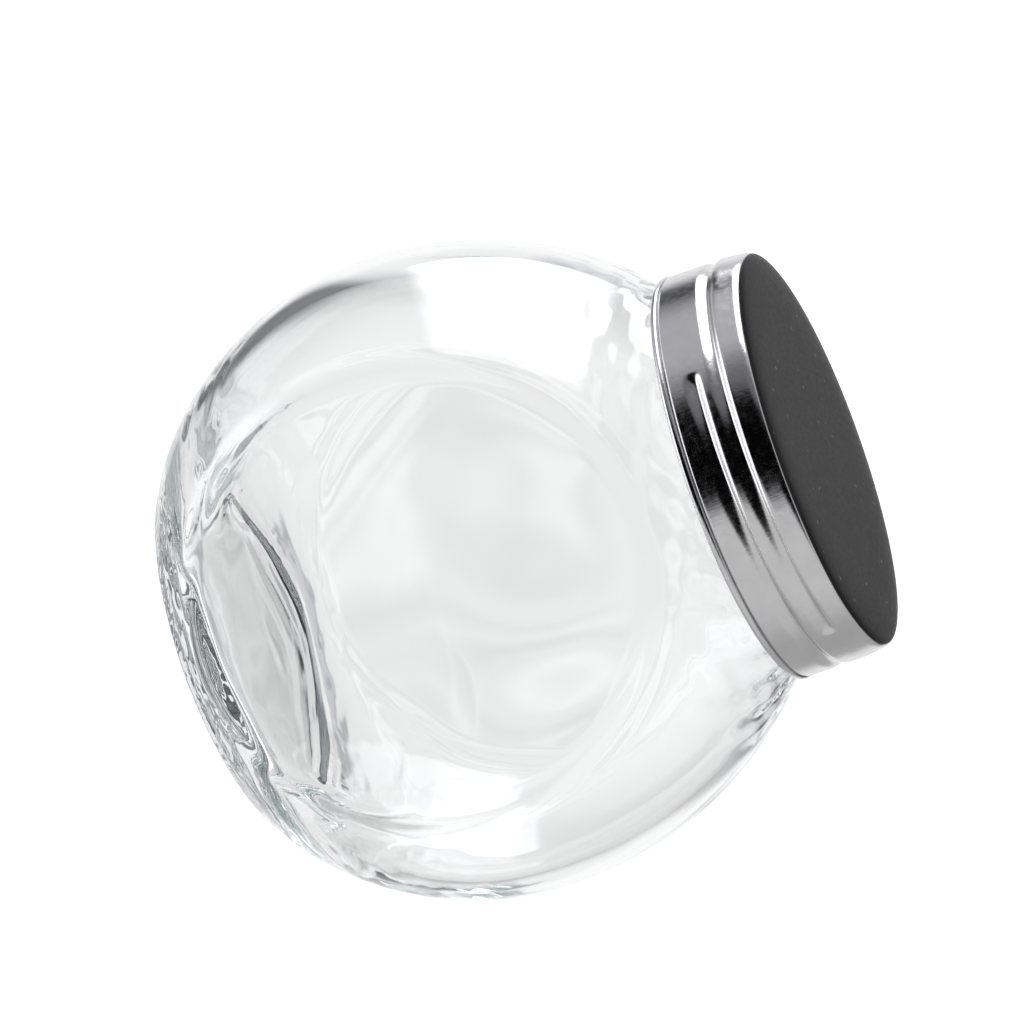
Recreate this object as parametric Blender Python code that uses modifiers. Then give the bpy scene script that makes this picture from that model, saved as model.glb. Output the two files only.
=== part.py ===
"""A clear glass coin jar with flat front and back panels and a pressed steel screw lid.

The jar stands on its bearing ring at z = 0 with its mouth up, and the panels face -Y and +Y.
Its body is a sphere with a fuller shoulder and a drawn-in heel. Profiles are lists of (distance from the axis, height).
"""

from math import cos, pi, radians, sin, sqrt

import bmesh
import bpy

# Glass body
BODY_RADIUS = 0.0558
SHOULDER_FULLNESS = 0.085  # how much further out than a sphere the body reaches towards its top
HEEL_FULLNESS = -0.043  # and towards its foot
CENTRE_Z = 0.0433  # height of the widest place
BODY_TOP_DEG = 53.0  # the body's outline runs between these two angles above and below its centre
BODY_FOOT_DEG = -46.0
PANEL_HALF_DEPTH = 0.0400
SLAB_SIDE = 0.3  # the slab that trims the panels only has to be wider than the jar
WALL = 0.0034
PANEL_WALL = 0.0036
INNER_FOOT_DEG = -34

# Base
RING_OUTER = 0.0309
RING_INNER = 0.0283
HEEL_FILLET = 0.0042
HEEL_START_DEG = -54.0
PUSH_UP_RIM = 0.0255
PUSH_UP_MIDDLE_RISE = 0.0011
PUSH_UP_RISE = 0.0016
PUSH_UP_CENTRE_RISE = 0.0022
FLOOR_Z = 0.0068
FLOOR_FILLET = 0.0160
FLOOR_FILLET_START_DEG = -44
FLOOR_FILLET_SPREAD = 0.0010

# Neck and its thread
NECK_RADIUS = 0.0331
NECK_FOOT_Z = 0.0928
RIM_Z = 0.1066
RIM_FILLET = 0.0007
BORE_RADIUS = 0.0297
BORE_FOOT_Z = NECK_FOOT_Z + 0.0005
THROAT_RADIUS = 0.0305
THROAT_Z = NECK_FOOT_Z - 0.0018
CAVITY_TOP_Z = RIM_Z + 0.01
THREAD_PITCH = 0.00423  # six turns to the inch, as on standard caps of this width
THREAD_CREST = 0.0339
THREAD_TUBE = 0.0012
THREAD_START_DEG = -140
THREAD_END_DEG = 180
THREAD_RUN_OUT_DEG = 20
THREAD_TIP_SHARE = 0.35
THREAD_STEP_DEG = 8

# Lid, pressed from thin sheet; its profile is the middle of the sheet
SHEET = 0.0003
LID_TOP_Z = RIM_Z + 0.0018
LID_TOP_RADIUS = 0.0348
LID_WAIST = (0.0352, 0.1038)  # the wall leans in a little from here up to the shoulder
LID_FOOT_RADIUS = 0.0353
LID_SHOULDER = 0.0015
GROOVE_DEPTH = 0.0007
GROOVE_LOWER_WIDTH = 0.0020  # the groove slopes gently below its middle and more steeply above
GROOVE_UPPER_WIDTH = 0.0013
GROOVE_START_DEG = -122
GROOVE_END_DEG = 324
GROOVE_RUN_OUT_DEG = 7
GROOVE_START_Z = 0.0984
GROOVE_ROW = 0.0008
CURL_RADIUS = 0.0005
CURL_CENTRE = (0.0350, NECK_FOOT_Z + 0.0002)
NECKING_RADIUS = 0.0347
NECKING_Z = NECK_FOOT_Z + 0.0009
WALL_FOOT_Z = NECKING_Z + 0.0006

# Liner
LINER_RADIUS = 0.0338
LINER_THICKNESS = 0.0008
LINER_CHAMFER = 0.0002
GAP = 0.0003

AZIMUTH_STEPS = 60


def clear_scene():
    for thing in list(bpy.data.objects):
        bpy.data.objects.remove(thing)


def new_collection(name):
    collection = bpy.data.collections.new(name)
    bpy.context.scene.collection.children.link(collection)
    return collection


def new_material(name, colour, roughness, metallic=0.0, transmission=0.0):
    material = bpy.data.materials.new(name)
    material.use_nodes = True
    shader = material.node_tree.nodes["Principled BSDF"]
    shader.inputs["Base Color"].default_value = (*colour, 1.0)
    shader.inputs["Roughness"].default_value = roughness
    shader.inputs["Metallic"].default_value = metallic
    shader.inputs["Transmission Weight"].default_value = transmission
    return material


def arc(centre, radius, start_deg, end_deg, steps):
    """Points along a round stretch of a profile, both ends included."""
    points = []
    for step in range(steps + 1):
        angle = radians(start_deg + (end_deg - start_deg) * step / steps)
        points.append((centre[0] + radius * cos(angle), centre[1] + radius * sin(angle)))
    return points


def body_curve(start_deg, end_deg, steps, inset=0.0):
    """The body's outline, or the inner face's when inset, between two angles about its centre."""
    points = []
    for step in range(steps + 1):
        angle = radians(start_deg + (end_deg - start_deg) * step / steps)
        fullness = SHOULDER_FULLNESS if angle > 0 else HEEL_FULLNESS
        reach = BODY_RADIUS * (1 + fullness * sin(angle) ** 2) - inset
        points.append((reach * cos(angle), CENTRE_Z + reach * sin(angle)))
    return points


def add_screw(thing):
    screw = thing.modifiers.new("Turn", "SCREW")
    screw.axis = "Z"
    screw.steps = AZIMUTH_STEPS
    screw.render_steps = AZIMUTH_STEPS
    screw.use_merge_vertices = True
    screw.merge_threshold = 0.00001


def turned(name, profile, collection, material=None):
    """An object turned about Z from a profile that runs down its outer side."""
    mesh = bpy.data.meshes.new(name)
    mesh.from_pydata(
        [(radius, 0.0, height) for radius, height in profile],
        [(i, i + 1) for i in range(len(profile) - 1)],
        [],
    )
    thing = bpy.data.objects.new(name, mesh)
    collection.objects.link(thing)
    add_screw(thing)
    if material:
        mesh.materials.append(material)
    return thing


def as_mesh(thing, material=None):
    """Replaces an object by its evaluated mesh, under the same name."""
    bpy.context.view_layer.update()
    graph = bpy.context.evaluated_depsgraph_get()
    mesh = bpy.data.meshes.new_from_object(thing.evaluated_get(graph))
    name, collection = thing.name, thing.users_collection[0]
    place = thing.matrix_world.copy()
    bpy.data.objects.remove(thing)
    solid = bpy.data.objects.new(name, mesh)
    solid.matrix_world = place
    collection.objects.link(solid)
    if material:
        mesh.materials.clear()
        mesh.materials.append(material)
    return solid


def add_boolean(thing, operation, cutter):
    boolean = thing.modifiers.new(f"{operation.title()} {cutter.name}", "BOOLEAN")
    boolean.operation = operation
    boolean.solver = "EXACT"
    boolean.object = cutter


def as_cutter(thing):
    thing.hide_render = True
    thing.display_type = "WIRE"
    return thing


def panel_slab(name, half_depth, collection):
    """The slab between the two panels, which trims a turned body flat at its front and back."""
    bpy.ops.mesh.primitive_cube_add(size=1.0, location=(0.0, 0.0, CENTRE_Z))
    slab = bpy.context.active_object
    slab.name = name
    for vertex in slab.data.vertices:
        vertex.co.x *= SLAB_SIDE
        vertex.co.y *= 2 * half_depth
        vertex.co.z *= SLAB_SIDE
    for owner in list(slab.users_collection):
        owner.objects.unlink(slab)
    collection.objects.link(slab)
    return as_cutter(slab)


def helix_height(degrees):
    """Height of the lid's rolled-in groove at an azimuth that counts on through its turns."""
    return GROOVE_START_Z + THREAD_PITCH * (degrees - GROOVE_START_DEG) / 360


def glass_thread(collection):
    """The raised thread on the neck, half a pitch above the lid's groove so that both can turn."""
    angles = range(THREAD_START_DEG, THREAD_END_DEG + 1, THREAD_STEP_DEG)
    curve = bpy.data.curves.new("neck_thread", "CURVE")
    curve.dimensions = "3D"
    curve.bevel_depth = THREAD_TUBE
    curve.bevel_resolution = 2
    curve.use_fill_caps = True
    spline = curve.splines.new("POLY")
    spline.points.add(len(angles) - 1)
    for point, degrees in zip(spline.points, angles):
        run = min(degrees - THREAD_START_DEG, THREAD_END_DEG - degrees) / THREAD_RUN_OUT_DEG
        share = THREAD_TIP_SHARE + (1.0 - THREAD_TIP_SHARE) * min(run, 1.0)
        radius = THREAD_CREST - THREAD_TUBE - (1.0 - share) * THREAD_TUBE / 2
        height = helix_height(degrees) + THREAD_PITCH / 2
        angle = radians(degrees)
        point.co = (radius * cos(angle), radius * sin(angle), height, 1.0)
        point.radius = share
    thing = bpy.data.objects.new("neck_thread", curve)
    collection.objects.link(thing)
    solid = as_mesh(thing)
    edit = bmesh.new()
    edit.from_mesh(solid.data)
    bmesh.ops.remove_doubles(edit, verts=edit.verts, dist=0.00001)
    edit.to_mesh(solid.data)
    edit.free()
    return as_cutter(solid)


def outer_profile():
    rim = arc((NECK_RADIUS - RIM_FILLET, RIM_Z - RIM_FILLET), RIM_FILLET, 90, 0, 3)
    heel = arc((RING_OUTER, HEEL_FILLET), HEEL_FILLET, HEEL_START_DEG, -90, 3)
    body = body_curve(BODY_TOP_DEG, BODY_FOOT_DEG, 20)
    push_up = [
        (RING_INNER, 0.0),
        ((RING_INNER + PUSH_UP_RIM) / 2, PUSH_UP_MIDDLE_RISE),
        (PUSH_UP_RIM, PUSH_UP_RISE),
        (0.0, PUSH_UP_CENTRE_RISE),
    ]
    return [(0.0, RIM_Z), *rim, (NECK_RADIUS, NECK_FOOT_Z), *body, *heel, *push_up]


def cavity_profile():
    """The hollow, run up past the rim so that it opens the mouth."""
    reach = BODY_RADIUS - WALL - FLOOR_FILLET + FLOOR_FILLET_SPREAD
    drop = CENTRE_Z - FLOOR_Z - FLOOR_FILLET
    fillet_centre = (sqrt(reach**2 - drop**2), FLOOR_Z + FLOOR_FILLET)
    side = body_curve(BODY_TOP_DEG, INNER_FOOT_DEG, 16, inset=WALL)
    heel = arc(fillet_centre, FLOOR_FILLET, FLOOR_FILLET_START_DEG, -90, 5)
    mouth = [(0.0, CAVITY_TOP_Z), (BORE_RADIUS, CAVITY_TOP_Z)]
    throat = [(BORE_RADIUS, BORE_FOOT_Z), (THROAT_RADIUS, THROAT_Z)]
    return [*mouth, *throat, *side, *heel, (0.0, FLOOR_Z)]


def make_glass_jar(parts, cutters):
    glass = new_material("clear_glass", (0.93, 0.96, 0.95), 0.02, transmission=1.0)
    cavity = as_cutter(turned("cavity", cavity_profile(), cutters))
    inner_slab = panel_slab("inner_slab", PANEL_HALF_DEPTH - PANEL_WALL, cutters)
    add_boolean(cavity, "INTERSECT", inner_slab)
    jar = turned("glass_jar", outer_profile(), parts, glass)
    add_boolean(jar, "INTERSECT", panel_slab("outer_slab", PANEL_HALF_DEPTH, cutters))
    add_boolean(jar, "UNION", glass_thread(cutters))
    add_boolean(jar, "DIFFERENCE", cavity)
    return jar


def groove_depth(azimuth_deg, height):
    """How far the lid's wall is pressed in at a place on it: a smooth helical groove."""
    depth = 0.0
    for turn in range(-1, 2):
        degrees = azimuth_deg + 360 * turn
        run = min(degrees - GROOVE_START_DEG, GROOVE_END_DEG - degrees) / GROOVE_RUN_OUT_DEG
        above = height - helix_height(degrees)
        offset = abs(above) / (GROOVE_UPPER_WIDTH if above > 0 else GROOVE_LOWER_WIDTH)
        if run > 0 and offset < 1:
            depth = max(depth, GROOVE_DEPTH * min(run, 1.0) * cos(offset * pi / 2) ** 2)
    return depth


def lid_profile():
    """From the middle of the top, out and down the wall, through the necking and round the curl."""
    shoulder_x = LID_TOP_RADIUS - LID_SHOULDER
    top = LID_TOP_Z - SHEET / 2
    shoulder_z = top - LID_SHOULDER
    shoulder = arc((shoulder_x, shoulder_z), LID_SHOULDER, 90, 0, 4)
    rows = round((shoulder_z - WALL_FOOT_Z) / GROOVE_ROW)
    wall = []
    for row in range(1, rows + 1):
        height = shoulder_z + (WALL_FOOT_Z - shoulder_z) * row / rows
        if height > LID_WAIST[1]:
            lean = (height - LID_WAIST[1]) / (shoulder_z - LID_WAIST[1])
            radius = LID_WAIST[0] + lean * (LID_TOP_RADIUS - LID_WAIST[0])
        else:
            lean = (LID_WAIST[1] - height) / (LID_WAIST[1] - WALL_FOOT_Z)
            radius = LID_WAIST[0] + lean * (LID_FOOT_RADIUS - LID_WAIST[0])
        wall.append((radius, height))
    curl = arc(CURL_CENTRE, CURL_RADIUS, 80, -200, 7)
    return [(0.0, top), (shoulder_x * 0.55, top), *shoulder, *wall, (NECKING_RADIUS, NECKING_Z), *curl]


def make_lid_shell(parts):
    steel = new_material("tinplate", (0.62, 0.61, 0.62), 0.24, metallic=1.0)
    lid = as_mesh(turned("lid_shell", lid_profile(), parts), steel)
    for vertex in lid.data.vertices:
        if vertex.co.z > NECKING_Z and vertex.co.xy.length > LID_TOP_RADIUS - 0.00001:
            azimuth = vertex.co.xy.angle_signed((1.0, 0.0)) * 180 / pi
            vertex.co.xy *= 1 - groove_depth(azimuth, vertex.co.z) / vertex.co.xy.length
    solidify = lid.modifiers.new("Sheet", "SOLIDIFY")
    solidify.thickness = SHEET
    solidify.offset = 0.0
    return lid


def make_lid_liner(parts):
    foam = new_material("liner_foam", (0.86, 0.86, 0.83), 0.7)
    top = LID_TOP_Z - SHEET - GAP
    foot = top - LINER_THICKNESS
    flat = LINER_RADIUS - LINER_CHAMFER
    profile = [
        (0.0, top),
        (flat, top),
        (LINER_RADIUS, top - LINER_CHAMFER),
        (LINER_RADIUS, foot + LINER_CHAMFER),
        (flat, foot),
        (0.0, foot),
    ]
    return turned("lid_liner", profile, parts, foam)


def shade(thing, sharp_deg=35):
    thing.data.shade_smooth()
    thing.data.set_sharp_from_angle(angle=radians(sharp_deg))


def main():
    clear_scene()
    parts = new_collection("coin_jar")
    cutters = new_collection("cutters")
    jar = make_glass_jar(parts, cutters)
    lid = make_lid_shell(parts)
    liner = make_lid_liner(parts)
    for thing in (jar, lid, liner):
        shade(thing)
    # The lid and its liner travel up the jar's axis, so both have their origins on it.
    liner.parent = jar
    lid.parent = liner


main()
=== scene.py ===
from math import cos, pi, radians, sin, sqrt

import bpy
import numpy as np
from mathutils import Matrix, Vector


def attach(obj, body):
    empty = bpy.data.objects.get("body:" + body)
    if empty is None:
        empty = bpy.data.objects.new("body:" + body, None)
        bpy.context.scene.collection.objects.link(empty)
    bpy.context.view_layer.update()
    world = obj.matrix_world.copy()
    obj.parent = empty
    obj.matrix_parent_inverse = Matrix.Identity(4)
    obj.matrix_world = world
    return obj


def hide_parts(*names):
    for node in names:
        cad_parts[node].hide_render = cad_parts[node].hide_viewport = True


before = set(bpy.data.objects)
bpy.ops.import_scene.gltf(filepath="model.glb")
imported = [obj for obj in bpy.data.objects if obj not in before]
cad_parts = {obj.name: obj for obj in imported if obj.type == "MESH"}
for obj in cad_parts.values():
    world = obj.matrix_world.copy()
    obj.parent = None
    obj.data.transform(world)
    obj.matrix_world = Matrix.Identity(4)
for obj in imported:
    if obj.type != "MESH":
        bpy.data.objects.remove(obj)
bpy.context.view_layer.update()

# ---------------------------------------------------------------- sizes, in metres
CENTRE_Z = 0.0433
BODY_RADIUS = 0.0558
SHOULDER_FULLNESS = 0.085
HEEL_FULLNESS = -0.043
PANEL = 0.0400
WALL = 0.0034
PANEL_WALL = 0.0036
RING_OUTER = 0.0309
RING_INNER = 0.0283
HEEL_FILLET = 0.0042
PUSH_UP_RIM = 0.0255
FLOOR_Z = 0.0068
FLOOR_FILLET = 0.0160
NECK_RADIUS = 0.0331
NECK_FOOT_Z = 0.0928
RIM_Z = 0.1066
BORE_RADIUS = 0.0297
PITCH = 0.00423
THREAD_START_DEG = -140
THREAD_END_DEG = 180
THREAD_RUN_OUT_DEG = 20
THREAD_HALF_WIDTH = 0.0014
THREAD_HEIGHT = 0.0008
KNURLS = 84
KNURL_DEPTH = 0.00016
KNURL_RISE = 0.00008
SEAM_HEIGHT = 0.00005

LID_TOP_Z = RIM_Z + 0.0018
LID_TOP_RADIUS = 0.0348
LID_WAIST = (0.0352, 0.1038)
LID_FOOT_RADIUS = 0.0353
LID_SHOULDER = 0.0015
SHEET = 0.0003
GROOVE_DEPTH = 0.0007
GROOVE_LOWER_WIDTH = 0.0020
GROOVE_UPPER_WIDTH = 0.0013
GROOVE_START_DEG = -122
GROOVE_END_DEG = 324
GROOVE_START_Z = 0.0984
CURL_RADIUS = 0.0005
CURL_CENTRE = (0.0350, NECK_FOOT_Z + 0.0002)
NECKING_RADIUS = 0.0346
NECKING_Z = NECK_FOOT_Z + 0.0008
WALL_FOOT_Z = NECKING_Z + 0.0004
# angle up the lid's shoulder from which the dark colour, partly a painted reflection, covers the sheet
DARK_REFLECTION_EDGE_DEG = 44


# ---------------------------------------------------------------- mesh helpers
def arc(centre, radius, start_deg, end_deg, steps):
    points = []
    for step in range(steps + 1):
        angle = radians(start_deg + (end_deg - start_deg) * step / steps)
        points.append((centre[0] + radius * cos(angle), centre[1] + radius * sin(angle)))
    return points


def resample(points, spacing):
    """Points along a polyline; spacing gives the step to the next point from the present one."""
    points = np.array(points, float)
    seg = np.hypot(*np.diff(points, axis=0).T)
    along = np.concatenate([[0], np.cumsum(seg)])
    places, s = [0.0], 0.0
    while s < along[-1]:
        p = np.array([np.interp(s, along, points[:, 0]), np.interp(s, along, points[:, 1])])
        s += spacing(p)
        places.append(min(s, along[-1]))
    if places[-1] - places[-2] < 1e-5:
        places.pop(-2)
    places = np.array(places)
    return np.column_stack([np.interp(places, along, points[:, 0]), np.interp(places, along, points[:, 1])])


def smooth(points, passes):
    """Rounds the corners of a polyline of closely spaced points, ends held."""
    points = points.copy()
    for _ in range(passes):
        points[1:-1] = (points[:-2] + 2 * points[1:-1] + points[2:]) / 4
    return points


def grid_mesh(name, rows, close_start, close_end):
    """A tube of quads through rows of points (rows, around, 3), closed by a fan at either end."""
    count, around, _ = rows.shape
    verts = rows.reshape(-1, 3)
    i = np.arange(count - 1)[:, None] * around
    j = np.arange(around)[None, :]
    k = (j + 1) % around
    quads = np.stack([i + j, i + k, i + around + k, i + around + j], -1).reshape(-1, 4)
    faces = quads.tolist()
    extra = []
    if close_start:
        tip = len(verts) + len(extra)
        extra.append(rows[0].mean(0))
        faces += [[tip, (n + 1) % around, n] for n in range(around)]
    if close_end:
        tip = len(verts) + len(extra)
        extra.append(rows[-1].mean(0))
        last = (count - 1) * around
        faces += [[tip, last + n, last + (n + 1) % around] for n in range(around)]
    if extra:
        verts = np.vstack([verts, extra])
    mesh = bpy.data.meshes.new(name)
    mesh.from_pydata(verts.tolist(), [], faces)
    mesh.validate()
    mesh.shade_smooth()
    thing = bpy.data.objects.new(name, mesh)
    bpy.context.scene.collection.objects.link(thing)
    return thing


def soft_min(a, b, width):
    blend = np.clip(width - np.abs(a - b), 0, None) / width
    return np.minimum(a, b) - blend**2 * width / 4


def ramp(value, low, high):
    t = np.clip((value - low) / (high - low), 0, 1)
    return t * t * (3 - 2 * t)


def waves(x, y, z, seed, scale, count=14):
    """Smooth random swell over space, about -1 to 1, with bumps about scale metres across."""
    rng = np.random.default_rng(seed)
    total = np.zeros_like(x)
    for _ in range(count):
        way = rng.normal(size=3)
        way *= 2 * pi / scale / np.linalg.norm(way) * rng.uniform(0.5, 1.3)
        total += np.sin(way[0] * x + way[1] * y + way[2] * z + rng.uniform(0, 2 * pi))
    return total / sqrt(count)


def body_curve(start_deg, end_deg, steps, inset=0.0):
    points = []
    for step in range(steps + 1):
        angle = radians(start_deg + (end_deg - start_deg) * step / steps)
        fullness = SHOULDER_FULLNESS if angle > 0 else HEEL_FULLNESS
        reach = BODY_RADIUS * (1 + fullness * sin(angle) ** 2) - inset
        points.append((reach * cos(angle), CENTRE_Z + reach * sin(angle)))
    return points


def helix_height(degrees):
    return GROOVE_START_Z + PITCH * (degrees - GROOVE_START_DEG) / 360


# ---------------------------------------------------------------- the glass
AROUND = 640


def glass_outer():
    ring_foot = [(RING_INNER, 0.0002), (RING_INNER + 0.0006, 0.0)]
    base = [(0.0015, 0.0022), (PUSH_UP_RIM, 0.0016), ((RING_INNER + PUSH_UP_RIM) / 2, 0.0011)] + ring_foot
    heel = arc((RING_OUTER, HEEL_FILLET), HEEL_FILLET, -90, -54, 8)
    body = body_curve(-46, 53, 120)
    neck = [(NECK_RADIUS, NECK_FOOT_Z), (NECK_RADIUS, RIM_Z - 0.0009)]
    rim = arc((NECK_RADIUS - 0.0009, RIM_Z - 0.0009), 0.0009, 10, 90, 6)
    return base + heel + body + neck + rim


def glass_inner():
    rim = arc((BORE_RADIUS + 0.0007, RIM_Z - 0.0007), 0.0007, 90, 180, 5)
    throat = [(BORE_RADIUS, NECK_FOOT_Z + 0.0005), (0.0305, NECK_FOOT_Z - 0.0018)]
    side = body_curve(53, -34, 90, inset=WALL)
    reach = BODY_RADIUS - WALL - FLOOR_FILLET + 0.0010
    drop = CENTRE_Z - FLOOR_Z - FLOOR_FILLET
    centre = (sqrt(reach**2 - drop**2), FLOOR_Z + FLOOR_FILLET)
    heel = arc(centre, FLOOR_FILLET, -44, -90, 20)
    return rim + throat + side + heel + [(0.0015, FLOOR_Z)]


def outer_step(p):
    r, z = p
    if z > NECK_FOOT_Z - 0.002:
        return 0.00045
    if r < 0.0255 and z < 0.01:
        return 0.0030
    if z < 0.008:
        return 0.00045
    if z < 0.026:
        return 0.0007
    return 0.0011


def inner_step(p):
    r, z = p
    if z > RIM_Z - 0.002:
        return 0.0003
    if z < 0.012 and r < 0.028:
        return 0.0020
    return 0.0013


def flow_lines(theta, along, seed, shortest=0.0026, longest=0.0080):
    """Long irregular ripples that run round the jar, as where a mould chilled the glass."""
    rng = np.random.default_rng(seed)
    total = np.zeros(np.broadcast(theta, along).shape)
    for _ in range(26):
        turns = rng.integers(3, 26) * rng.choice([-1, 1])
        phase = turns * theta + along * 2 * pi / rng.uniform(shortest, longest)
        total += np.sin(phase + rng.uniform(0, 2 * pi))
    return total / sqrt(26)


def make_glass():
    theta = np.linspace(0, 2 * pi, AROUND, endpoint=False)[None, :]
    out = smooth(resample(glass_outer(), outer_step), 3)
    inn = smooth(resample(glass_inner(), inner_step), 4)
    sheets = []
    for profile, side in ((out, "out"), (inn, "in")):
        r = np.repeat(profile[:, :1], AROUND, 1)
        z = np.repeat(profile[:, 1:], AROUND, 1)
        seg = np.hypot(*np.diff(profile, axis=0).T)
        along = np.concatenate([[0], np.cumsum(seg)])[:, None]
        x, y = r * np.cos(theta), r * np.sin(theta)
        if side == "out":
            # knurled edge of the bearing ring, uneven from ridge to ridge
            zone = ramp(r, 0.0300, 0.0318) * (1 - ramp(z, 0.0016, 0.0042)) * (z < 0.02)
            drift = 1.1 * flow_lines(theta, along * 0, 5) + 0.5 * flow_lines(theta, along, 6)
            strength = 0.62 + 0.38 * np.clip(flow_lines(theta, along * 0.3, 7), -1, 1)
            ridge = (0.5 + 0.5 * np.cos(KNURLS * theta + 4 * z / 0.0040 + drift)) * zone * strength
            out_r = r - KNURL_DEPTH * ridge * ramp(z, 0.0003, 0.0012)
            z = z + KNURL_RISE * ridge * (1 - ramp(z, 0.0006, 0.0024))
            chill = ramp(r, 0.0290, 0.0330) * (1 - ramp(z, 0.0100, 0.0300)) * (z < 0.05)
            ripple = 0.000022 * flow_lines(theta, along, 9)
            ripple = ripple + 0.000006 * flow_lines(theta, along, 10, 0.0014, 0.0022)
            out_r = out_r + ripple * chill
            # mould seams at the two sides
            seam = np.exp(-((np.sin(theta) * r / 0.0005) ** 2)) * ramp(z, 0.003, 0.008)
            out_r = out_r + SEAM_HEIGHT * seam
            # thread on the neck
            deg = np.degrees(theta)
            for turn in range(-1, 2):
                a = deg + 360 * turn
                run = np.minimum(a - THREAD_START_DEG, THREAD_END_DEG - a) / THREAD_RUN_OUT_DEG
                run = np.clip(run, 0, 1)
                off = np.abs(z - (helix_height(a) + PITCH / 2)) / THREAD_HALF_WIDTH
                out_r = out_r + THREAD_HEIGHT * run * np.cos(np.clip(off, 0, 1) * pi / 2) ** 2
            x, y = out_r * np.cos(theta), out_r * np.sin(theta)
            limit, width = PANEL, 0.0014
        else:
            chill = ramp(r, 0.0180, 0.0300) * (1 - ramp(z, 0.0120, 0.0340)) * (z < 0.05)
            z = z + 0.00010 * flow_lines(theta, along, 11) * chill
            rough_fill = ramp(r, 0.0150, 0.0280) * (1 - ramp(z, 0.0100, 0.0240)) * (z < 0.05)
            z = z + 0.00050 * waves(x, y, z, 21, 0.026) * rough_fill
            throat = ramp(z, 0.0760, 0.0850) * (1 - ramp(z, NECK_FOOT_Z - 0.0020, NECK_FOOT_Z))
            inward = 1 - 0.00018 * flow_lines(theta, along, 13, 0.0030, 0.0090) * throat / r
            x, y = x * inward, y * inward
            limit, width = PANEL - PANEL_WALL, 0.0030
        swell = waves(x, y, z, 3 if side == "out" else 8, 0.030)
        inside = ramp(z, 0.004, 0.014) * (1 - ramp(z, NECK_FOOT_Z - 0.004, NECK_FOOT_Z))
        size = 0.00005 if side == "out" else 0.00026
        grow = 1 + inside * swell * size / BODY_RADIUS
        x, y = x * grow, y * grow
        lim = limit + swell * size * inside
        y = np.sign(y) * soft_min(np.abs(y), lim, width)
        sheets.append(np.stack([x, y, z], -1))
    rows = np.concatenate(sheets, 0)
    return grid_mesh("jar_glass", rows, True, True)


# ---------------------------------------------------------------- the lid
LID_AROUND = 420
SHOULDER_Z = LID_TOP_Z - SHEET / 2 - LID_SHOULDER


def lid_profile():
    shoulder = arc((LID_TOP_RADIUS - LID_SHOULDER, SHOULDER_Z), LID_SHOULDER, 90, 0, 12)
    wall = [LID_WAIST, (LID_FOOT_RADIUS, WALL_FOOT_Z)]
    necking = [(NECKING_RADIUS, NECKING_Z)]
    curl = arc(CURL_CENTRE, CURL_RADIUS, 110, -215, 18)
    return [(0.0010, LID_TOP_Z - SHEET / 2)] + shoulder + wall + necking + curl


def lid_step(p):
    r, z = p
    if r < 0.0320 and z > LID_TOP_Z - 0.002:
        return 0.0030
    if z > LID_TOP_Z - 0.0025:
        return 0.00024
    if z < WALL_FOOT_Z + 0.0006:
        return 0.00011
    return 0.00026


def make_lid():
    theta = np.linspace(0, 2 * pi, LID_AROUND, endpoint=False)[None, :]
    profile = smooth(resample(lid_profile(), lid_step), 2)
    r = np.repeat(profile[:, :1], LID_AROUND, 1)
    z = np.repeat(profile[:, 1:], LID_AROUND, 1)
    deg = np.degrees(theta)
    depth = np.zeros_like(r)
    for turn in range(-1, 2):
        a = deg + 360 * turn
        run = np.clip(np.minimum(a - GROOVE_START_DEG, GROOVE_END_DEG - a) / 4, 0, 1)
        run = np.sqrt(1 - (1 - run) ** 2)
        above = z - helix_height(a)
        off = np.abs(above) / np.where(above > 0, GROOVE_UPPER_WIDTH, GROOVE_LOWER_WIDTH)
        depth = np.maximum(depth, GROOVE_DEPTH * run * np.cos(np.clip(off, 0, 1) * pi / 2) ** 2)
    on_wall = (z < SHOULDER_Z + 0.0006) & (z > WALL_FOOT_Z - 0.0002) & (r > 0.034)
    r = r - depth * on_wall
    rows = np.stack([r * np.cos(theta), r * np.sin(theta), z], -1)
    lid = grid_mesh("lid_pressed_shell", rows, True, False)
    lid.data.flip_normals()
    sheet = lid.modifiers.new("Sheet", "SOLIDIFY")
    sheet.thickness = SHEET
    sheet.offset = 0.0
    return lid


# ---------------------------------------------------------------- materials
def nodes_of(material):
    material.use_nodes = True
    tree = material.node_tree
    tree.nodes.clear()
    output = tree.nodes.new("ShaderNodeOutputMaterial")
    shader = tree.nodes.new("ShaderNodeBsdfPrincipled")
    tree.links.new(shader.outputs[0], output.inputs["Surface"])
    return tree, shader, output


def noise(tree, scale, detail=3.0, stretch=None):
    coord = tree.nodes.new("ShaderNodeTexCoord")
    vector = coord.outputs["Object"]
    if stretch:
        mapping = tree.nodes.new("ShaderNodeMapping")
        mapping.inputs["Scale"].default_value = stretch
        tree.links.new(vector, mapping.inputs["Vector"])
        vector = mapping.outputs["Vector"]
    texture = tree.nodes.new("ShaderNodeTexNoise")
    texture.inputs["Scale"].default_value = scale
    texture.inputs["Detail"].default_value = detail
    tree.links.new(vector, texture.inputs["Vector"])
    return texture.outputs["Fac"]


def span(tree, value, low, high, to_low, to_high):
    node = tree.nodes.new("ShaderNodeMapRange")
    node.inputs["From Min"].default_value = low
    node.inputs["From Max"].default_value = high
    node.inputs["To Min"].default_value = to_low
    node.inputs["To Max"].default_value = to_high
    tree.links.new(value, node.inputs["Value"])
    return node.outputs["Result"]


def bump(tree, shader, height, distance):
    node = tree.nodes.new("ShaderNodeBump")
    node.inputs["Strength"].default_value = 1.0
    node.inputs["Distance"].default_value = distance
    tree.links.new(height, node.inputs["Height"])
    tree.links.new(node.outputs["Normal"], shader.inputs["Normal"])


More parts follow.
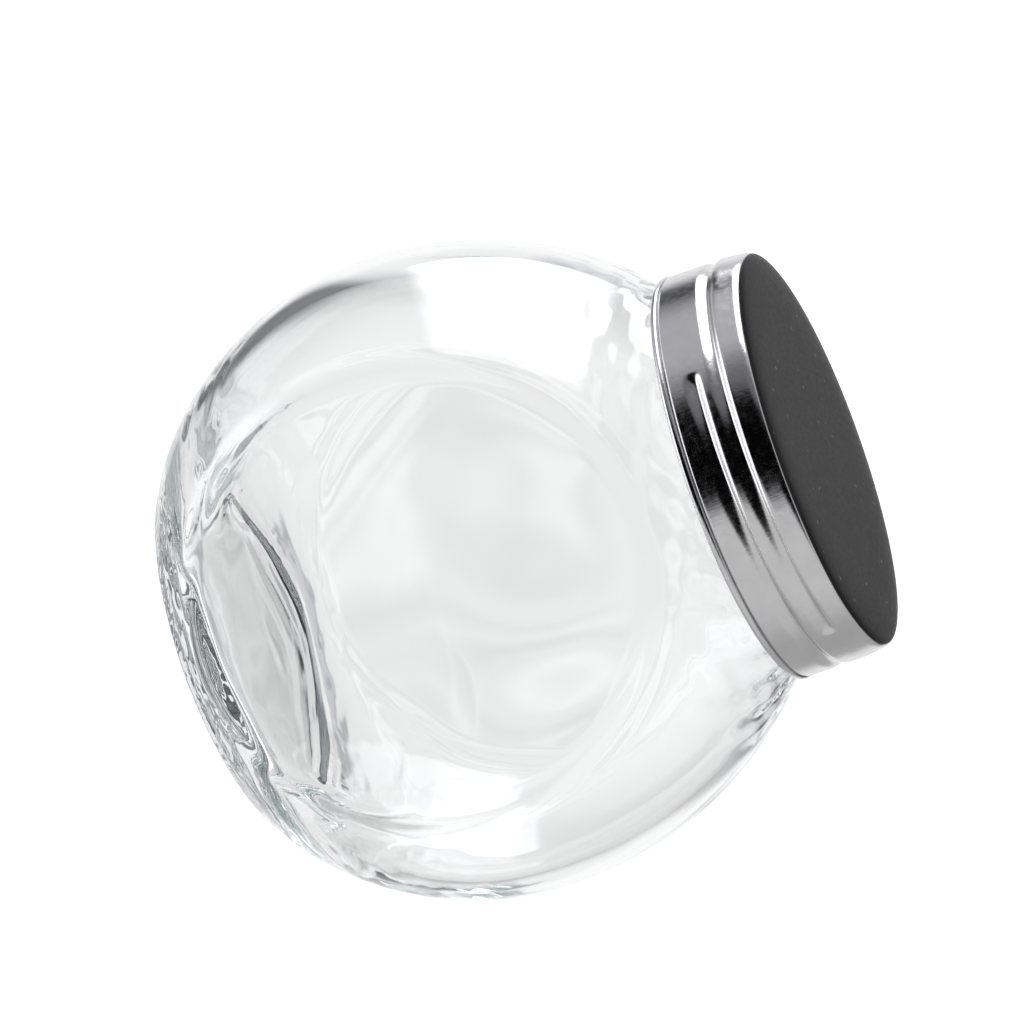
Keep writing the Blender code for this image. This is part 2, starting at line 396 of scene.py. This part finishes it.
def mix_heights(tree, a, b, share):
    node = tree.nodes.new("ShaderNodeMix")
    node.inputs[0].default_value = share
    tree.links.new(a, node.inputs[2])
    tree.links.new(b, node.inputs[3])
    return node.outputs[0]


def colours(tree, shader, value, limits, low, high):
    ramp_node = tree.nodes.new("ShaderNodeValToRGB")
    ramp_node.color_ramp.elements[0].position = limits[0]
    ramp_node.color_ramp.elements[0].color = (*low, 1)
    ramp_node.color_ramp.elements[1].position = limits[1]
    ramp_node.color_ramp.elements[1].color = (*high, 1)
    tree.links.new(value, ramp_node.inputs[0])
    tree.links.new(ramp_node.outputs[0], shader.inputs["Base Color"])


def glass_material():
    material = bpy.data.materials.new("clear_glass")
    tree, shader, output = nodes_of(material)
    shader.inputs["Base Color"].default_value = (0.990, 0.991, 0.991, 1)
    shader.inputs["Roughness"].default_value = 0.0
    shader.inputs["IOR"].default_value = 1.5
    shader.inputs["Transmission Weight"].default_value = 1.0
    bump(tree, shader, noise(tree, 70.0, 0.0), 0.000005)
    absorb = tree.nodes.new("ShaderNodeVolumeAbsorption")
    absorb.inputs["Color"].default_value = (0.66, 0.80, 0.78, 1)
    absorb.inputs["Density"].default_value = 3.0
    tree.links.new(absorb.outputs[0], output.inputs["Volume"])
    return material


def steel_material():
    """Rolled tinplate: fine scratches across the wall, a slight orange peel, and uneven gloss."""
    material = bpy.data.materials.new("tinplate")
    tree, shader, output = nodes_of(material)
    shader.inputs["Metallic"].default_value = 1.0
    scratches = noise(tree, 2600.0, 2.0, (1.0, 1.0, 0.22))
    peel = noise(tree, 900.0, 2.0)
    cloud = noise(tree, 160.0, 3.0)
    height = mix_heights(tree, scratches, peel, 0.55)
    colours(tree, shader, cloud, (0.35, 0.65), (0.63, 0.625, 0.635), (0.68, 0.675, 0.68))
    tree.links.new(span(tree, height, 0.35, 0.65, 0.12, 0.24), shader.inputs["Roughness"])
    bump(tree, shader, height, 0.000020)
    return material


def lid_top_dark_reflection_material():
    """Dark satin colour on the lid's top, partly a painted reflection of the dark room that the steel top
    faces, with a few light specks of dust.
    """
    material = bpy.data.materials.new("lid_top_satin_painted_reflection")
    tree, shader, output = nodes_of(material)
    dust = noise(tree, 620.0, 1.0)
    # the dark base colour is partly a painted reflection of a dark room; the light specks are dust
    colours(tree, shader, dust, (0.760, 0.775), (0.023, 0.0200, 0.0195), (0.40, 0.39, 0.38))
    grain = noise(tree, 1500.0, 3.0)
    tree.links.new(span(tree, grain, 0.3, 0.7, 0.34, 0.42), shader.inputs["Roughness"])
    bump(tree, shader, grain, 0.000004)
    return material


def liner_material():
    material = bpy.data.materials.new("liner_foam")
    tree, shader, output = nodes_of(material)
    shader.inputs["Base Color"].default_value = (0.90, 0.90, 0.88, 1)
    grain = noise(tree, 2500.0, 3.0)
    tree.links.new(span(tree, grain, 0.3, 0.7, 0.55, 0.8), shader.inputs["Roughness"])
    bump(tree, shader, grain, 0.00001)
    return material


# ---------------------------------------------------------------- studio
# axes of the room: along the front, over the object as it lies, and to the rear
SIDE = Vector((0.33856, 0.23252, 0.91176))
OVER = Vector((-0.94075, 0.10329, 0.32299))
REAR = Vector((0.01908, 0.96709, -0.25371))


def world_math(tree, kind, a, b=None, c=None):
    node = tree.nodes.new("ShaderNodeMath")
    node.operation = kind
    for slot, value in zip(node.inputs, (a, b, c)):
        if value is None:
            continue
        if isinstance(value, (int, float)):
            slot.default_value = value
        else:
            tree.links.new(value, slot)
    return node.outputs[0]


def world_dot(tree, direction, axis):
    node = tree.nodes.new("ShaderNodeVectorMath")
    node.operation = "DOT_PRODUCT"
    node.inputs[1].default_value = axis
    tree.links.new(direction, node.inputs[0])
    return node.outputs["Value"]


def step_up(tree, value, low, high):
    node = tree.nodes.new("ShaderNodeMapRange")
    node.interpolation_type = "SMOOTHSTEP"
    node.inputs["From Min"].default_value = low
    node.inputs["From Max"].default_value = high
    tree.links.new(value, node.inputs["Value"])
    return node.outputs["Result"]


def band(tree, value, low, high, soft):
    up = step_up(tree, value, low - soft, low + soft)
    down = step_up(tree, value, high - soft, high + soft)
    return world_math(tree, "SUBTRACT", up, down)


def make_world():
    """A white wall behind, a softbox overhead, a pale table, and a dark room on the front side.

    r, u and f are a direction's parts along SIDE, OVER and REAR, the three axes of the room.
    """
    world = bpy.data.worlds.new("studio")
    bpy.context.scene.world = world
    world.use_nodes = True
    tree = world.node_tree
    tree.nodes.clear()
    coord = tree.nodes.new("ShaderNodeTexCoord")
    way = coord.outputs["Generated"]
    r, u, f = (world_dot(tree, way, axis) for axis in (SIDE, OVER, REAR))
    path = tree.nodes.new("ShaderNodeLightPath")

    def times(*values):
        total = values[0]
        for value in values[1:]:
            total = world_math(tree, "MULTIPLY", total, value)
        return total

    def plus(*values):
        total = values[0]
        for value in values[1:]:
            total = world_math(tree, "ADD", total, value)
        return total

    def without(value):
        return world_math(tree, "SUBTRACT", 1.0, value)

    def over(value, depth):
        return world_math(tree, "DIVIDE", value, world_math(tree, "MAXIMUM", depth, 0.02))

    # the room's grey surfaces: roof, table, and what lies between them
    roof = step_up(tree, u, 0.55, 0.75)
    ground = step_up(tree, u, -0.22, -0.48)
    between = without(plus(roof, ground))
    table = times(ground, plus(0.50, times(step_up(tree, f, 0.35, -0.15), 0.24)))
    roof_level = plus(0.22, times(band(tree, f, -0.38, 0.46, 0.16), 0.38))
    room = plus(times(roof, roof_level), table, times(between, 0.62))

    # dark front side, and a dark strip to the right
    front_side = times(
        step_up(tree, f, -0.27, -0.62),
        band(tree, u, -0.34, 0.66, 0.11),
        step_up(tree, r, -0.80, -0.66),
    )
    right_side = times(
        step_up(tree, over(r, world_math(tree, "ABSOLUTE", f)), 0.38, 0.56),
        step_up(tree, u, -0.42, -0.2),
        step_up(tree, f, -0.05, 0.20),
    )

    # the front side is dark in reflections only, and less so after several of them
    straight = world_math(tree, "LESS_THAN", path.outputs["Glossy Depth"], 0.5)
    straight = times(straight, path.outputs["Is Transmission Ray"])
    deep = world_math(tree, "GREATER_THAN", path.outputs["Glossy Depth"], 1.5)
    front_side = times(front_side, without(straight), without(times(deep, 0.45)))
    room = times(room, without(times(front_side, 0.998)), without(times(right_side, 0.93)))

    # white wall behind, with a dark upper corner, and pale walls at both ends for straight looks
    wall_r, wall_u = over(r, f), over(u, f)
    left_edge = plus(wall_r, times(step_up(tree, wall_u, 0.12, 0.30), -0.17))
    wall = times(
        step_up(tree, left_edge, -0.50, -0.38),
        step_up(tree, wall_r, 0.50, 0.30),
        band(tree, wall_u, -0.62, 0.62, 0.14),
        step_up(tree, f, 0.05, 0.15),
    )
    side_wall = times(straight, step_up(tree, world_math(tree, "ABSOLUTE", u), 0.70, 0.86))
    corner = times(
        step_up(tree, wall_u, 0.12, 0.30),
        step_up(tree, wall_r, -0.22, -0.34),
        step_up(tree, wall_r, -0.66, -0.52),
        step_up(tree, f, 0.2, 0.4),
    )
    room = times(room, without(times(corner, 0.75)))

    # faint unevenness in the middle of the wall
    across = plus(wall_u, times(wall_r, -0.35))
    along = plus(wall_r, times(wall_u, 0.35))
    place = tree.nodes.new("ShaderNodeCombineXYZ")
    tree.links.new(times(across, 45.0), place.inputs[0])
    tree.links.new(times(along, 7.0), place.inputs[1])
    cloud = tree.nodes.new("ShaderNodeTexNoise")
    cloud.inputs["Scale"].default_value = 1.0
    cloud.inputs["Detail"].default_value = 1.5
    tree.links.new(place.outputs[0], cloud.inputs["Vector"])
    middle = times(band(tree, wall_r, -0.17, 0.03, 0.04), band(tree, wall_u, -0.12, 0.07, 0.04))
    unevenness = plus(times(step_up(tree, cloud.outputs["Fac"], 0.30, 0.70), 0.17), -0.085)
    wall_level = plus(0.985, times(middle, unevenness))
    wall = world_math(tree, "MAXIMUM", wall, side_wall)
    backdrop = plus(times(room, without(wall)), times(wall, wall_level))

    # softbox overhead, and a little light from below the upright object
    box = times(
        band(tree, over(r, u), -0.23, 0.42, 0.035),
        band(tree, over(f, u), -0.32, 1.12, 0.035),
        step_up(tree, u, 0.1, 0.2),
    )
    below = times(step_up(tree, r, -0.76, -0.88), 1.5)
    level = plus(backdrop, times(box, 3.0), below)

    tint = tree.nodes.new("ShaderNodeMix")
    tint.data_type = "RGBA"
    tint.inputs[6].default_value = (0.95, 0.955, 1.0, 1)
    tint.inputs[7].default_value = (1, 1, 1, 1)
    tree.links.new(world_math(tree, "MAXIMUM", wall, ground), tint.inputs[0])
    studio = tree.nodes.new("ShaderNodeBackground")
    tree.links.new(tint.outputs[2], studio.inputs["Color"])
    tree.links.new(level, studio.inputs["Strength"])
    plain = tree.nodes.new("ShaderNodeBackground")
    plain.inputs["Color"].default_value = (1, 1, 1, 1)
    plain.inputs["Strength"].default_value = 1.02
    mix = tree.nodes.new("ShaderNodeMixShader")
    out = tree.nodes.new("ShaderNodeOutputWorld")
    tree.links.new(path.outputs["Is Camera Ray"], mix.inputs[0])
    tree.links.new(studio.outputs[0], mix.inputs[1])
    tree.links.new(plain.outputs[0], mix.inputs[2])
    tree.links.new(mix.outputs[0], out.inputs["Surface"])


def make_floor():
    size = 5.0
    corners = [(-size, -size, 0), (size, -size, 0), (size, size, 0), (-size, size, 0)]
    mesh = bpy.data.meshes.new("floor")
    mesh.from_pydata(corners, [], [(0, 1, 2, 3)])
    floor = bpy.data.objects.new("floor", mesh)
    bpy.context.scene.collection.objects.link(floor)
    material = bpy.data.materials.new("pale_floor")
    tree, shader, output = nodes_of(material)
    shader.inputs["Base Color"].default_value = (0.8, 0.8, 0.8, 1)
    shader.inputs["Roughness"].default_value = 0.9
    shader.inputs["Emission Color"].default_value = (1, 1, 1, 1)
    shader.inputs["Emission Strength"].default_value = 0.93
    mesh.materials.append(material)
    floor.visible_glossy = False
    floor.visible_transmission = False


def make_camera():
    data = bpy.data.cameras.new("camera")
    data.sensor_width = 36.0
    data.lens = 207.5
    data.clip_start = 0.05
    data.clip_end = 30.0
    camera = bpy.data.objects.new("camera", data)
    bpy.context.scene.collection.objects.link(camera)
    turn = Matrix.Rotation(radians(-1.1303), 4, "Z") @ Matrix.Rotation(radians(90 - 14.697), 4, "X")
    turn = turn @ Matrix.Rotation(radians(70.494), 4, "Z")
    camera.matrix_world = Matrix.Translation((-0.02616, -0.96494, 0.30739)) @ turn
    bpy.context.scene.camera = camera


# ---------------------------------------------------------------- scene
glass = make_glass()
glass.data.materials.append(glass_material())
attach(glass, "jar")
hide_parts("glass_jar")

lid = make_lid()
lid.data.materials.append(steel_material())
lid.data.materials.append(lid_top_dark_reflection_material())
# faces above this height get the dark colour, partly a painted reflection of the dark room
dark_reflection_foot = SHOULDER_Z + LID_SHOULDER * sin(radians(DARK_REFLECTION_EDGE_DEG))
for face in lid.data.polygons:
    if face.center.z > dark_reflection_foot:
        face.material_index = 1
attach(lid, "lid")
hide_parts("lid_shell")

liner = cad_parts["lid_liner"]
liner.data.materials.clear()
liner.data.materials.append(liner_material())

make_world()
make_floor()
make_camera()
bpy.context.scene.view_settings.view_transform = "Standard"
bpy.context.scene.view_settings.look = "None"
cycles = bpy.context.scene.cycles
cycles.max_bounces = 96
cycles.transmission_bounces = 96
cycles.glossy_bounces = 96
